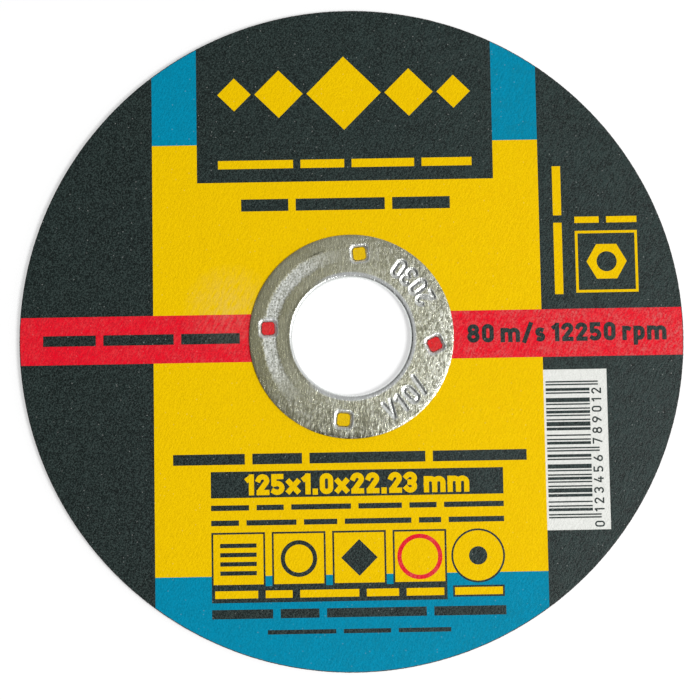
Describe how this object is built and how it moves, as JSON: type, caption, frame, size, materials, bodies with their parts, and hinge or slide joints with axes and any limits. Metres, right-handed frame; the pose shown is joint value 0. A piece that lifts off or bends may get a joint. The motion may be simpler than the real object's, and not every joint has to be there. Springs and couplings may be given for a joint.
{
  "type": "cut-off wheel",
  "caption": "Thin round cut-off wheel of bonded abrasive with a printed paper label and a pressed tinplate centre ring with a plain bore, for an angle grinder.",
  "frame": {"origin": "on the bore's axis at the back of the disc, which lies on the surface", "axes": "+Z along the bore's axis, out of the label; +Y towards the top of the label; +X to its right"},
  "size_m": [0.125, 0.125, 0.0014],
  "materials": {
    "abrasive": "gritty bonded abrasive",
    "paper": "matt label paper",
    "black_ink": "printed paper, low sheen",
    "teal_ink": "printed paper, low sheen",
    "yellow_ink": "printed paper, low sheen",
    "red_ink": "printed paper, low sheen",
    "tinplate": "tinplate, finely scuffed"
  },
  "bodies": {
    "root": {"abrasive_disc": "abrasive", "paper_label": "paper", "print_black": "black_ink", "print_teal": "teal_ink", "print_yellow": "yellow_ink", "print_red": "red_ink", "centre_ring": "tinplate"}
  },
  "joints": []
}
